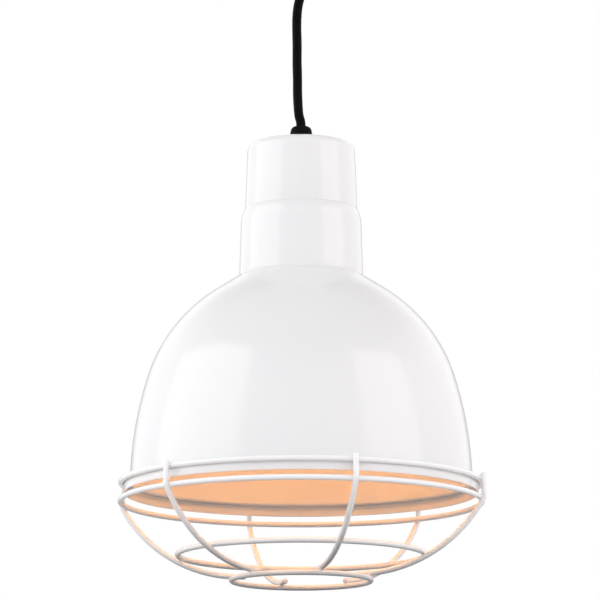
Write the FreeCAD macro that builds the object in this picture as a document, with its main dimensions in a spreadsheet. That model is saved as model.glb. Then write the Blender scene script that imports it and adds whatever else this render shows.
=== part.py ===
import FreeCAD, Part
import math
import os
import Sketcher

# Pendant ceiling light: a deep steel shade with a two-step neck and a wire guard, hung on a
# three-core cord from a ceiling canopy.
#
# Row frame: millimetres, +Z up, origin on the ceiling plane at the middle of the mounting strap.
# Two local frames keep every drawn height positive:
#   HEAD     heights are measured up from the plane of the shade's rim
#   CEILING  heights are depths measured down from the ceiling plane

DIMENSIONS = {
    # overall levels
    "rim_drop": (412.0, "ceiling plane to the shade's rim"),
    "sheet": (1.0, "steel sheet of the shade, neck and canopy"),
    # shade bowl
    "rim_rad": (127.0, "outer radius of the rim skirt"),
    "ledge_up": (8.2, "rim plane to the top of the ledge"),
    "ledge_bend": (1.2, "outer bend radius between skirt and ledge"),
    "foot_rad": (122.6, "dome radius where it meets the ledge"),
    "dome_low": (84.7, "height where the lower wall arc meets the shoulder arc"),
    "dome_bend": (113.8, "radius of the shoulder arc"),
    "cone_rad": (64.3, "radius where the top cone meets the shoulder arc"),
    "cone_up": (145.8, "height where the top cone meets the shoulder arc"),
    "neck_rad": (44.8, "neck radius at the crease with the bowl"),
    "crease_up": (158.5, "height of the crease between neck and bowl"),
    "throat_rad": (31.0, "hole through the joined flanges of bowl and collar"),
    # neck collar and cap
    "collar_rad": (43.7, "collar radius where its shoulder starts"),
    "collar_up": (196.5, "height where the collar's shoulder starts"),
    "seam_rad": (41.4, "collar radius at the seam with the cap"),
    "seam_up": (207.5, "height of the seam"),
    "spigot_rad": (39.4, "spigot that centres the cap on the collar"),
    "spigot_len": (6.0, "spigot length"),
    "cap_low_rad": (40.7, "cap radius at the seam"),
    "cap_top_rad": (39.0, "cap radius at its top corner"),
    "cap_up": (256.5, "height of the cap's top"),
    "cap_bend": (6.0, "corner radius of the cap's top"),
    # cord and the two cord grips
    "cord_rad": (3.4, "cord jacket radius"),
    "end_gap": (0.3, "gap between a cord end and the piece of cord it continues"),
    "grip_len": (12.2, "height of a grip nut"),
    "grip_rad": (8.0, "radius of a grip nut"),
    "grip_straight": (6.4, "straight part of a grip nut"),
    "grip_top_rad": (5.4, "radius of the shade grip's top edge"),
    "bell_top_rad": (7.0, "radius of the ceiling grip's bell mouth edge"),
    "mouth_rad": (4.75, "shade grip mouth: clears the cord at its combined tilt"),
    "bell_mouth_rad": (6.3, "ceiling grip mouth: clears the cord at its combined swing"),
    "throat_in_rad": (4.4, "shade grip: mouth radius at its inner end"),
    "bell_in_rad": (5.1, "ceiling grip: mouth radius at its inner end"),
    "lip_len": (0.7, "length of the shade grip's flared mouth"),
    "bell_lip_len": (1.2, "length of the ceiling grip's flared mouth"),
    "pivot_in": (2.4, "shade grip: cord pivot below the mouth's edge"),
    "bell_pivot_in": (3.4, "ceiling grip: cord pivot inside the mouth's edge"),
    "seal_rad": (4.2, "shade grip seal: ring radius"),
    "bell_seal_rad": (4.35, "ceiling grip seal: ring radius"),
    "seal_wire": (0.5, "seal section radius"),
    "washer_rad": (9.0, "grip washer radius"),
    "washer_len": (0.8, "washer thickness"),
    "nipple_rad": (5.0, "nipple radius, M10"),
    "nipple_in": (3.7, "nipple bore"),
    "nipple_grip": (5.7, "nipple length inside the grip nut"),
    "nut_corner": (8.1, "locknut corner radius"),
    "nut_len": (3.0, "locknut height"),
    "fit": (0.05, "thread and bore clearance"),
    "hole_fit": (0.2, "clearance of a drilled hole"),
    # stirrup that joins cap, socket and flanges
    "strip": (1.5, "stirrup strip thickness"),
    "strip_wide": (16.0, "stirrup strip width"),
    "leg_out": (29.0, "outer face of a stirrup leg"),
    "foot_out": (41.0, "end of a stirrup foot"),
    "bolt_ring": (36.5, "pitch radius of the flange screws"),
    "bolt_rad": (2.0, "flange screw radius, M4"),
    "bolt_head": (3.8, "flange screw head radius"),
    "bolt_head_len": (2.4, "flange screw head height"),
    "bolt_nut": (4.04, "flange nut corner radius"),
    "bolt_nut_len": (3.2, "flange nut height"),
    # lampholder
    "socket_rad": (22.0, "lampholder radius"),
    "socket_lip_rad": (20.5, "lampholder radius at its lower edge"),
    "socket_low": (184.0, "height of the lampholder's lower edge"),
    "socket_floor": (216.0, "underside of the lampholder's floor"),
    "socket_up": (222.0, "top of the porcelain body"),
    "socket_bore": (14.6, "bore that takes the screw shell"),
    "socket_cap_up": (240.0, "top of the lampholder's cap"),
    "hub_up": (246.0, "top of the cap's hub"),
    "hub_rad": (8.0, "hub radius"),
    "socket_cap_wall": (1.5, "wall of the lampholder's cap"),
    "nipple_low": (236.0, "lower end of the shade nipple"),
    "shell_crest": (13.35, "screw shell inner radius at its crests"),
    "shell_root": (14.0, "screw shell inner radius at its roots"),
    "shell_skin": (0.4, "screw shell thickness"),
    "screw_ring": (18.3, "pitch radius of the lampholder's body screws"),
    "screw_rad": (1.5, "small screw radius, M3"),
    "screw_head": (2.7, "small screw head radius"),
    "screw_head_len": (2.0, "small screw head height"),
    "terminal_out": (13.0, "terminal screws, from the axis"),
    "plate_skin": (0.6, "terminal plate thickness"),
    # lamp, E26 base and A19 bulb
    "thread_pitch": (3.63, "pitch of the lamp thread"),
    "lamp_tip": (212.8, "height of the lamp's centre contact"),
    "base_crest": (13.1, "lamp shell outer radius at its crests"),
    "base_root": (12.45, "lamp shell outer radius at its roots"),
    "base_skin": (0.35, "lamp shell thickness"),
    "bulb_rad": (30.0, "bulb radius"),
    "bulb_mid": (135.8, "height of the bulb's centre"),
    "bulb_skin": (0.8, "glass thickness"),
    # wire guard
    "wire_rad": (2.0, "guard wire radius"),
    "weld": (0.3, "depth that two welded wires sink into each other"),
    "upper_ring_rad": (128.9, "ring radius of the ring sprung round the skirt"),
    "upper_ring_up": (7.81, "rim plane up to that ring, which bears on the ledge's bend"),
    "lower_ring_rad": (129.4, "ring radius of the ring under the rim"),
    "lower_ring_drop": (5.6, "rim plane down to the ring under the rim"),
    "mid_ring_rad": (88.3, "ring radius of the middle ring"),
    "mid_ring_drop": (43.8, "rim plane down to the middle ring"),
    "end_ring_rad": (49.7, "ring radius of the end ring"),
    "end_ring_drop": (61.85, "rim plane down to the end ring"),
    "rib_top_rad": (132.45, "radius of a rib's cut upper end"),
    "rib_top_up": (11.2, "height of a rib's cut upper end"),
    "knee_drop": (4.2, "rim plane down to the rib's knee"),
    "knee_bend": (4.0, "bend radius of the rib's knee"),
    "belly_drop": (58.3, "rim plane down to the rib's level end"),
    "belly_bend": (102.9, "radius of the rib's long curve"),
    "tip_rad": (39.0, "radius reached by a rib's tip"),
    "rib_turn": (17.0, "first rib's angle from the front, in degrees"),
    # ceiling end
    "canopy_rad": (63.5, "canopy radius"),
    "canopy_len": (25.0, "canopy depth"),
    "canopy_bend": (22.0, "corner radius of the canopy"),
    "strap_half": (54.0, "half length of the mounting strap"),
    "strap_wide": (20.0, "mounting strap width"),
    "strap_skin": (1.6, "mounting strap thickness"),
    "slot_gap": (88.9, "distance between the strap's two slots"),
    "slot_rad": (2.4, "half width of a slot"),
    "slot_len": (12.0, "slot length, end to end"),
    "strap_hole": (5.2, "strap's centre hole"),
    "stud_out": (30.0, "canopy screws, from the axis"),
    "stud_rad": (2.1, "canopy screw radius, 8-32"),
    "stud_len": (31.0, "canopy screw length"),
    "earth_out": (14.0, "strap's earth screw, from the axis"),
    "core_rad": (1.1, "radius of one insulated core"),
}
RIBS = 6
FLANGE_SCREWS = 4
SOCKET_WAVES = 6
BASE_WAVES = 5

doc = FreeCAD.newDocument("pendant_light")
sheet = doc.addObject("Spreadsheet::Sheet", "dims")
nodes = []


class Size:
    """A length together with the sheet expression that gives it."""

    def __init__(self, value, text):
        self.value = float(value)
        self.text = text

    def __add__(self, other):
        other = as_size(other)
        return Size(self.value + other.value, f"({self.text} + {other.text})")

    def __sub__(self, other):
        other = as_size(other)
        return Size(self.value - other.value, f"({self.text} - {other.text})")

    def __mul__(self, factor):
        return Size(self.value * factor, f"({self.text} * {factor:g})")

    def __neg__(self):
        return Size(-self.value, f"(0 - {self.text})")


class Guess:
    """A starting value that the sketch's other constraints settle."""

    def __init__(self, value):
        self.value = float(value)


class Dims:
    """Gives each cell of the sheet as a Size."""

    def __getattr__(self, name):
        return Size(DIMENSIONS[name][0], f"dims.{name}")


def as_size(number):
    return number if isinstance(number, Size) else Size(number, f"{number:g}")


def fill_sheet():
    for row, (name, (value, note)) in enumerate(DIMENSIONS.items(), 1):
        sheet.set(f"A{row}", name)
        sheet.set(f"B{row}", str(value))
        sheet.set(f"C{row}", note)
        sheet.setAlias(f"B{row}", name)
    doc.recompute()


D = Dims()
fill_sheet()

HEAD = FreeCAD.Placement(FreeCAD.Vector(0, 0, -D.rim_drop.value), FreeCAD.Rotation())
CEILING = FreeCAD.Placement(FreeCAD.Vector(0, 0, 0), FreeCAD.Rotation(FreeCAD.Vector(1, 0, 0), 180))


def vector(x, y, z=0.0):
    return FreeCAD.Vector(x, y, z)


def bind(item, **sizes):
    """Ties properties of an object to the sheet."""
    for name, size in sizes.items():
        item.setExpression(name, as_size(size).text)


def place(item, frame, x=0, y=0, z=0, turn=None):
    """Puts an object at x, y, z of a local frame, with its position tied to the sheet."""
    x, y, z = as_size(x), as_size(y), as_size(z)
    local = FreeCAD.Placement(vector(x.value, y.value, z.value), turn or FreeCAD.Rotation())
    item.Placement = frame.multiply(local)
    if frame is HEAD:
        z = z - D.rim_drop
    else:
        y, z = -y, -z
    for axis, size in zip("xyz", (x, y, z)):
        item.setExpression(f"Placement.Base.{axis}", size.text)


def keep(item, label):
    """Makes an object a sub-part under its own name."""
    item.Label = label
    nodes.append(item)
    return item


# ---------------------------------------------------------------- sketches


def corner_cut(before, corner, after, radius):
    """Tangent points and centre of a round corner between two straight edges."""
    a = (before - corner).normalize()
    b = (after - corner).normalize()
    half = math.acos(max(-1.0, min(1.0, a.dot(b)))) / 2
    reach = radius / math.tan(half)
    middle = (a + b).normalize() * (radius / math.sin(half))
    return corner + a * reach, corner + b * reach, corner + middle


def arc_from(start, end, radius, left):
    """Arc edge from start to end, with its centre on the left or the right of the way there."""
    chord = end - start
    mid = (start + end) * 0.5
    rise = math.sqrt(max(radius**2 - (chord.Length / 2) ** 2, 1e-9))
    side = vector(-chord.y, chord.x).normalize() * (rise if left else -rise)
    return arc_about(mid + side, start, end, left)


def arc_about(centre, start, end, left):
    first, last = (start, end) if left else (end, start)
    turn = [math.atan2(p.y - centre.y, p.x - centre.x) for p in (first, last)]
    circle = Part.Circle(centre, vector(0, 0, 1), (start - centre).Length)
    return Part.ArcOfCircle(circle, turn[0], turn[1])


class Outline:
    """Builds one constrained outline in a sketch.

    Each point is (x, y) or (x, y, corner radius). An entry of arcs says that the edge which
    leaves that point is an arc: (radius, centre on the left?). Smooth lists the points where
    two edges meet tangentially, and centred the arcs whose centres lie on the vertical axis."""

    def __init__(self, sketch, points, arcs=None, smooth=(), closed=True, centred=()):
        self.sketch = sketch
        self.arcs = arcs or {}
        self.points = [tuple(p) + (None,) * (3 - len(p)) for p in points]
        self.spots = [vector(as_value(p[0]), as_value(p[1])) for p in self.points]
        self.closed = closed
        self.ends = {}
        count = len(points)
        edges = count if closed else count - 1
        self.cuts = {k: self.cut(k) for k in range(count) if self.points[k][2] is not None}
        for k in range(edges):
            self.add_edge(k, (k + 1) % count)
        for k in range(count):
            self.join(k, (k - 1) % count, k in smooth)
        for k in centred:
            self.sketch.addConstraint(Sketcher.Constraint("PointOnObject", self.ends[k][0], 3, -2))

    def cut(self, k):
        count = len(self.spots)
        return corner_cut(
            self.spots[k - 1], self.spots[k], self.spots[(k + 1) % count], as_value(self.points[k][2])
        )

    def add_edge(self, k, following):
        start = self.cuts[k][1] if k in self.cuts else self.spots[k]
        end = self.cuts[following][0] if following in self.cuts else self.spots[following]
        if k in self.arcs:
            radius, left = self.arcs[k]
            edge = self.sketch.addGeometry(arc_from(start, end, as_value(radius), left))
            self.ends[k] = (edge, 1 if left else 2, 2 if left else 1)
            if not isinstance(radius, Guess):
                self.limit("Radius", edge, size=radius)
        else:
            edge = self.sketch.addGeometry(Part.LineSegment(start, end))
            self.ends[k] = (edge, 1, 2)

    def join(self, k, previous, smooth):
        here, before = self.ends.get(k), self.ends.get(previous)
        if not self.closed and (k == 0 or here is None):
            edge, spot = (here[0], here[1]) if here else (before[0], before[2])
            self.fix(edge, spot, k)
            return
        if k in self.cuts:
            self.round_corner(k, before, here)
            return
        kind = "Tangent" if smooth else "Coincident"
        self.sketch.addConstraint(Sketcher.Constraint(kind, before[0], before[2], here[0], here[1]))
        self.fix(here[0], here[1], k)

    def round_corner(self, k, before, here):
        leave, arrive, centre = self.cuts[k]
        left = (leave - self.spots[k]).cross(arrive - self.spots[k]).z < 0
        arc = self.sketch.addGeometry(arc_about(centre, leave, arrive, left))
        first, last = (1, 2) if left else (2, 1)
        self.sketch.addConstraint(Sketcher.Constraint("Tangent", before[0], before[2], arc, first))
        self.sketch.addConstraint(Sketcher.Constraint("Tangent", arc, last, here[0], here[1]))
        self.limit("Radius", arc, size=self.points[k][2])
        dot = self.sketch.addGeometry(Part.Point(self.spots[k]), True)
        self.sketch.addConstraint(Sketcher.Constraint("PointOnObject", dot, 1, before[0]))
        self.sketch.addConstraint(Sketcher.Constraint("PointOnObject", dot, 1, here[0]))
        self.fix(dot, 1, k)

    def fix(self, edge, spot, k):
        for kind, size in zip(("DistanceX", "DistanceY"), self.points[k][:2]):
            if not isinstance(size, Guess):
                self.limit(kind, -1, 1, edge, spot, size=size)

    def limit(self, kind, *where, size):
        size = as_size(size)
        index = self.sketch.addConstraint(Sketcher.Constraint(kind, *where, size.value))
        if size.text != f"{size.value:g}":
            self.sketch.setExpression(f"Constraints[{index}]", size.text)


def as_value(number):
    return number.value if isinstance(number, (Size, Guess)) else float(number)


def origin_item(body, role):
    return next(f for f in body.Origin.OriginFeatures if f.Role == role)


def new_body(label, frame, x=0, y=0, z=0, turn=None):
    body = doc.addObject("PartDesign::Body", label)
    place(body, frame, x, y, z, turn)
    return keep(body, label)


def new_sketch(body, plane, name, offset=None):
    sketch = body.newObject("Sketcher::SketchObject", f"{body.Label}_{name}")
    sketch.AttachmentSupport = [(origin_item(body, plane), "")]
    sketch.MapMode = "FlatFace"
    if offset is not None:
        sketch.setExpression("AttachmentOffset.Base.z", as_size(offset).text)
    return sketch


def turned(label, frame, points, arcs=None, smooth=(), centred=(), **where):
    """A body turned about its own Z axis from an outline of (radius, height) points."""
    body = new_body(label, frame, **where)
    sketch = new_sketch(body, "XZ_Plane", "outline")
    Outline(sketch, points, arcs, smooth, centred=centred)
    turning = body.newObject("PartDesign::Revolution", f"{label}_turned")
    turning.Profile = sketch
    turning.ReferenceAxis = (sketch, ["V_Axis"])
    turning.Angle = 360
    doc.recompute()
    return body


def hollowed(body, open_height, skin):
    """Turns the solid into sheet metal, open at the flat face that lies at one height."""
    base = body.Tip
    height = as_value(open_height)
    faces = enumerate(base.Shape.Faces, 1)
    name = next(
        f"Face{k}"
        for k, face in faces
        if isinstance(face.Surface, Part.Plane) and abs(face.CenterOfMass.z - height) < 1e-6
    )
    shell = body.newObject("PartDesign::Thickness", f"{body.Label}_sheet")
    shell.Base = (base, [name])
    shell.Reversed = True
    bind(shell, Value=skin)
    doc.recompute()


def drilled(body, height, depth, holes, name="holes"):
    """Cuts round holes, each (x, y, radius), through depth to both sides of a height."""
    sketch = new_sketch(body, "XY_Plane", name, offset=height)
    for x, y, radius in holes:
        centre = vector(as_value(x), as_value(y))
        edge = sketch.addGeometry(Part.Circle(centre, vector(0, 0, 1), as_value(radius)))
        for kind, size in (("DistanceX", x), ("DistanceY", y)):
            add_signed(sketch, kind, edge, size)
        index = sketch.addConstraint(Sketcher.Constraint("Radius", edge, as_value(radius)))
        sketch.setExpression(f"Constraints[{index}]", as_size(radius).text)
    before = body.Shape.Volume
    cut = body.newObject("PartDesign::Pocket", f"{body.Label}_{name}_cut")
    cut.Profile = sketch
    cut.Midplane = True
    bind(cut, Length=as_size(depth) * 2)
    doc.recompute()
    if body.Shape.Volume >= before - 1e-6:
        raise RuntimeError(f"{name} of {body.Label} cut nothing")


def add_signed(sketch, kind, edge, size):
    """Positions a circle's centre; a negative size is measured the other way."""
    size = as_size(size)
    if size.value < 0:
        size = -size
        ends = (edge, 3, -1, 1)
    else:
        ends = (-1, 1, edge, 3)
    index = sketch.addConstraint(Sketcher.Constraint(kind, *ends, size.value))
    if size.text != f"{size.value:g}":
        sketch.setExpression(f"Constraints[{index}]", size.text)


def around(radius, count, hole):
    """Holes on a circle, for the counts 2 and 4, whose centres lie on the axes."""
    spots = [(radius, 0), (0, radius), (-radius, 0), (0, -radius)]
    return [(x, y, hole) for x, y in spots[:: 4 // count]]


# ---------------------------------------------------------------- primitives


def primitive(kind, name, frame, sizes, x=0, y=0, z=0, turn=None):
    item = doc.addObject(kind, name)
    bind(item, **sizes)
    place(item, frame, x, y, z, turn)
    return item


def cylinder(name, frame, radius, height, **where):
    return primitive("Part::Cylinder", name, frame, {"Radius": radius, "Height": height}, **where)


def combine(kind, name, members):
    item = doc.addObject(kind, name)
    if kind == "Part::Cut":
        item.Base, item.Tool = members
    elif kind == "Part::Compound":
        item.Links = members
    else:
        item.Shapes = members
    return item


def washer(label, frame, z, outer, inner, height, **where):
    solid = cylinder(f"{label}_disc", frame, outer, height, z=z, **where)
    hole = cylinder(f"{label}_hole", frame, inner, height, z=z, **where)
    return combine("Part::Cut", f"{label}_ring", [solid, hole])


def hex_nut(label, frame, z, corner, inner, height, **where):
    solid = doc.addObject("Part::Prism", f"{label}_hex")
    solid.Polygon = 6
    bind(solid, Circumradius=corner, Height=height)
    place(solid, frame, z=z, **where)
    hole = cylinder(f"{label}_hole", frame, inner, height, z=z, **where)
    return combine("Part::Cut", f"{label}_nut", [solid, hole])


def screw(label, frame, x, y, head_z, head_len, head_rad, shank_len, shank_rad):
    """A slotted screw. Its head starts at head_z, and the shank follows above the head."""
    head = cylinder(f"{label}_head", frame, head_rad, head_len, x=x, y=y, z=head_z)
    shank = cylinder(f"{label}_shank", frame, shank_rad, shank_len, x=x, y=y, z=head_z + head_len)
    body = combine("Part::MultiFuse", f"{label}_solid", [head, shank])
    slot = doc.addObject("Part::Box", f"{label}_slot")
    wide, deep = as_size(head_rad) * 0.3, as_size(head_len) * 0.45
    bind(slot, Length=as_size(head_rad) * 3, Width=wide, Height=deep)
    place(slot, frame, as_size(x) - as_size(head_rad) * 1.5, as_size(y) - wide * 0.5, head_z)
    return combine("Part::Cut", f"{label}_screw", [body, slot])


def bent_wire(label, frame, points, radius, bend):
    """A round wire along straight runs joined by tangent arcs; points are plain local positions."""
    spots = [vector(*p) for p in points]
    edges, start = [], spots[0]
    for k in range(1, len(spots) - 1):
        leave, arrive, _ = corner_cut(spots[k - 1], spots[k], spots[k + 1], bend)
        a, b = (leave - spots[k]).normalize(), (arrive - spots[k]).normalize()
        _, _, centre = corner_cut(spots[k - 1], spots[k], spots[k + 1], bend)
        middle = centre + (a + b).normalize() * (-bend)
        edges += [Part.LineSegment(start, leave).toShape(), Part.Arc(leave, middle, arrive).toShape()]
        start = arrive
    edges.append(Part.LineSegment(start, spots[-1]).toShape())
    path = Part.Wire(edges)
    section = Part.Wire(Part.Circle(spots[0], spots[1] - spots[0], radius).toShape())
    item = doc.addObject("Part::Feature", label)
    item.Shape = path.makePipeShell([section], True, True)
    item.Placement = frame
    return keep(item, label)


# ---------------------------------------------------------------- shade and neck


def flange_holes():
    ring = around(D.bolt_ring, FLANGE_SCREWS, D.bolt_rad + D.hole_fit)
    return [(0, 0, D.throat_rad)] + ring


def shade_bowl():
    body = turned(
        "shade_bowl",
        HEAD,
        [
            (0, 0),
            (D.rim_rad, 0),
            (D.rim_rad, D.ledge_up, D.ledge_bend),
            (D.foot_rad, D.ledge_up),
            (Guess(110.4), D.dome_low),
            (D.cone_rad, D.cone_up),
            (D.neck_rad, D.crease_up),
            (0, D.crease_up),
        ],
        arcs={3: (Guess(269.0), True), 4: (D.dome_bend, True)},
        smooth=(4, 5),
    )
    hollowed(body, 0, D.sheet)
    drilled(body, D.crease_up, D.sheet * 2, flange_holes())


def neck_collar():
    body = turned(
        "neck_collar",
        HEAD,
        [
            (0, D.crease_up),
            (D.neck_rad, D.crease_up),
            (D.collar_rad, D.collar_up),
            (D.seam_rad, D.seam_up),
            (D.spigot_rad, D.seam_up),
            (D.spigot_rad, D.seam_up + D.spigot_len),
            (0, D.seam_up + D.spigot_len),
        ],
        arcs={2: (Guess(30.0), True)},
        smooth=(2,),
    )
    hollowed(body, D.seam_up + D.spigot_len, D.sheet)
    drilled(body, D.crease_up, D.sheet * 2, flange_holes())


def neck_cap():
    body = turned(
        "neck_cap",
        HEAD,
        [
            (0, D.seam_up),
            (D.cap_low_rad, D.seam_up),
            (D.cap_top_rad, D.cap_up, D.cap_bend),
            (0, D.cap_up),
        ],
    )
    hollowed(body, D.seam_up, D.sheet)
    drilled(body, D.cap_up, D.sheet * 2, [(0, 0, D.nipple_rad + D.hole_fit)])


def stirrup():
    """Strip bent to a stirrup: its bar hangs under the cap, its feet stand on the flange."""
    body = new_body("socket_stirrup", HEAD)
    top = D.cap_up - D.sheet
    foot = D.crease_up + D.sheet
    inner = D.leg_out - D.strip
    sketch = new_sketch(body, "XZ_Plane", "strip")
    Outline(
        sketch,
        [
            (0, top),
            (0, top - D.strip),
            (inner, top - D.strip, D.strip),
            (inner, foot, D.strip * 2),
            (D.foot_out, foot),
            (D.foot_out, foot + D.strip),
            (D.leg_out, foot + D.strip, D.strip),
            (D.leg_out, top, D.strip * 2),
        ],
    )
    pad = body.newObject("PartDesign::Pad", "stirrup_half")
    pad.Profile = sketch
    pad.Midplane = True
    bind(pad, Length=D.strip_wide)
    doc.recompute()
    mirror = body.newObject("PartDesign::Mirrored", "stirrup_whole")
    mirror.Originals = [pad]
    mirror.MirrorPlane = (origin_item(body, "YZ_Plane"), [""])
    body.Tip = mirror
    doc.recompute()
    drilled(body, top, D.strip * 2, [(0, 0, D.nipple_rad + D.hole_fit)], "bar_hole")
    drilled(body, foot, D.strip * 2, around(D.bolt_ring, 2, D.bolt_rad + D.hole_fit), "foot_holes")


def flange_fasteners():
    """Screws up through both flanges. The two on the X axis also hold the stirrup's feet."""
    screws, nuts = [], []
    for k, (x, y, _) in enumerate(around(D.bolt_ring, FLANGE_SCREWS, 0)):
        head_z = D.crease_up - D.sheet - D.bolt_head_len
        under_nut = D.crease_up + D.sheet + (D.strip if k % 2 == 0 else 0)
        shank = under_nut + D.bolt_nut_len + 1 - (head_z + D.bolt_head_len)
        screws.append(
            screw(f"flange{k}", HEAD, x, y, head_z, D.bolt_head_len, D.bolt_head, shank, D.bolt_rad)
        )
        bore = D.bolt_rad + D.fit
        nuts.append(
            hex_nut(f"flange{k}", HEAD, under_nut, D.bolt_nut, bore, D.bolt_nut_len, x=x, y=y)
        )
    keep(combine("Part::Compound", "flange_screws", screws), "flange_screws")
    keep(combine("Part::Compound", "flange_nuts", nuts), "flange_nuts")


# ---------------------------------------------------------------- cord grips and cord


def cord_grip(which, frame, seat, inside, top_rad, mouth, throat, lip, pivot_in, seal, nipple_end):
    """Nut, washer, nipple, locknut and seal where the cord goes through sheet metal.

    Heights run from the sheet's outer face, seat, towards the free cord. The stack inside
    the sheet is clamped between that face and the locknut."""
    nut_low = seat + D.washer_len
    nut_top = nut_low + D.grip_len
    pivot = nut_top - pivot_in
    bore = D.nipple_rad + D.fit
    turned(
        f"{which}_grip_nut",
        frame,
        [
            (bore, nut_low),
            (D.grip_rad, nut_low),
            (D.grip_rad, nut_low + D.grip_straight),
            (top_rad, nut_top),
            (mouth, nut_top),
            (throat, nut_top - lip),
            (bore if throat.value < bore.value else throat + D.fit, nut_top - lip),
        ]
        + ([] if throat.value < bore.value else [(throat + D.fit, pivot - 2.6), (bore, pivot - 2.6)]),
        arcs={2: (as_size(7.0), True)},
    )
    name = f"{which}_grip_washer"
    keep(washer(name, frame, seat, D.washer_rad, D.nipple_rad + D.hole_fit, D.washer_len), name)
    name = f"{which}_grip_locknut"
    keep(hex_nut(name, frame, inside - D.nut_len, D.nut_corner, bore, D.nut_len), name)
    name = f"{which}_grip_nipple"
    length = nut_low + D.nipple_grip - nipple_end
    keep(washer(name, frame, nipple_end, D.nipple_rad, D.nipple_in, length), name)
    name = f"{which}_grip_seal"
    sizes = {"Radius1": seal, "Radius2": D.seal_wire}
    keep(primitive("Part::Torus", name, frame, sizes, z=pivot), name)
    return pivot


def cord_half(label, frame, pivot, length):
    """Half of the free cord, with a round end that turns in its grip."""
    shaft = cylinder(f"{label}_shaft", frame, D.cord_rad, length, z=pivot)
    ball = primitive("Part::Sphere", f"{label}_end", frame, {"Radius": D.cord_rad}, z=pivot)
    keep(combine("Part::MultiFuse", label, [shaft, ball]), label)


def cord_tail(label, frame, pivot, end):
    """The stretch of cord held inside a grip, up to the end of its jacket."""
    top = pivot - D.cord_rad - D.end_gap
    keep(cylinder(label, frame, D.cord_rad, top - end, z=end), label)


# ---------------------------------------------------------------- lampholder and lamp


def wave_points(low, waves, crest, root, step):
    """Points of a rounded-off screw profile, climbing from low."""
    points = []
    for k in range(waves):
        base = low + step * k
        points += [(crest, base), (crest, base + step * 0.2), (root, base + step * 0.4)]
        points += [(root, base + step * 0.6), (crest, base + step * 0.8)]
    return points


def screw_shell():
    low = D.socket_low + 4.5
    top = D.socket_floor - 0.6
    inside = wave_points(low, SOCKET_WAVES, D.shell_crest, D.shell_root, D.thread_pitch)
    outside = [(r + D.shell_skin, z) for r, z in inside]
    rim = [(8, top - D.shell_skin), (8, top), (D.shell_crest + D.shell_skin, top)]
    turned(
        "socket_screw_shell",
        HEAD,
        inside + [(D.shell_crest, top - D.shell_skin)] + rim + outside[::-1],
    )


def socket_body():
    body = turned(
        "socket_body",
        HEAD,
        [
            (D.socket_bore, D.socket_low),
            (D.socket_lip_rad, D.socket_low, 1.2),
            (D.socket_rad, D.socket_low + 6),
            (D.socket_rad, D.socket_up),
            (3, D.socket_up),
            (3, D.socket_floor),
            (D.socket_bore, D.socket_floor),
        ],
    )
    drill = D.screw_rad + D.hole_fit
    drilled(body, D.socket_up, 40, around(D.screw_ring, 4, drill)[1::2], "screw_holes")
    sink = D.screw_head + D.hole_fit
    drilled(body, D.socket_low, 4, around(D.screw_ring, 4, sink)[1::2], "counterbores")
    drilled(body, D.socket_up, 5, around(D.terminal_out, 2, drill), "terminal_holes")


def socket_cap():
    body = turned(
        "socket_cap",
        HEAD,
        [
            (0, D.socket_up),
            (D.socket_rad, D.socket_up),
            (D.socket_rad, D.socket_cap_up, 3),
            (D.hub_rad, D.socket_cap_up),
            (D.hub_rad, D.hub_up, 1),
            (0, D.hub_up),
        ],
    )
    drilled(body, D.hub_up, 12, [(0, 0, D.nipple_rad + D.fit)], "thread")
    room = D.socket_cap_up - D.socket_cap_wall - D.socket_up
    drilled(body, D.socket_up, room, [(0, 0, D.socket_rad - D.socket_cap_wall)], "room")


def socket_fittings():
    plates, terminals, screws = [], [], []
    for k, side in enumerate((1, -1)):
        x = D.terminal_out * side
        y = D.screw_ring * side
        plate = doc.addObject("Part::Box", f"plate{k}")
        bind(plate, Length=12, Width=7, Height=D.plate_skin)
        place(plate, HEAD, x - (8 if side > 0 else 4), -3.5, D.socket_up)
        hole = cylinder(f"plate{k}_hole", HEAD, D.screw_rad + D.hole_fit, D.plate_skin, x=x, z=D.socket_up)
        plates.append(combine("Part::Cut", f"plate{k}_cut", [plate, hole]))
        on_plate = D.socket_up + D.plate_skin
        head = cylinder(f"terminal{k}_head", HEAD, D.screw_head, D.screw_head_len, x=x, z=on_plate)
        shank = cylinder(f"terminal{k}_shank", HEAD, D.screw_rad, D.plate_skin + 4, x=x, z=D.socket_up - 4)
        terminals.append(combine("Part::MultiFuse", f"terminal{k}", [head, shank]))
        shank = D.socket_cap_up - D.socket_cap_wall - D.socket_low - 4
        low = D.socket_low + 1.8
        screws.append(
            screw(f"body{k}", HEAD, 0, y, low, D.screw_head_len, D.screw_head, shank, D.screw_rad)
        )
    keep(combine("Part::Compound", "socket_terminal_plates", plates), "socket_terminal_plates")
    keep(combine("Part::Compound", "socket_terminal_screws", terminals), "socket_terminal_screws")
    keep(combine("Part::Compound", "socket_body_screws", screws), "socket_body_screws")
    under_top = D.socket_cap_up - D.socket_cap_wall
    name, height = "socket_earth_screw", under_top - D.screw_head_len
    keep(cylinder(name, HEAD, D.screw_head, D.screw_head_len, y=12, z=height), name)


def socket_contact():
    """Sprung tongue that meets the lamp's tip, held by a rivet in the lampholder's floor."""
    body = new_body("socket_contact", HEAD, x=-6)
    low = D.lamp_tip + 0.2
    sketch = new_sketch(body, "XZ_Plane", "tongue")
    Outline(
        sketch,
        [
            (0, low),
            (9, low),
            (13, D.socket_floor - 0.5),
            (17.5, D.socket_floor - 0.5),
            (17.5, D.socket_floor),
            (12.7, D.socket_floor),
            (8.8, low + 0.5),
            (0, low + 0.5),
        ],
    )
    pad = body.newObject("PartDesign::Pad", "tongue_strip")
    pad.Profile = sketch
    pad.Midplane = True
    bind(pad, Length=5)
    doc.recompute()


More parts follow.
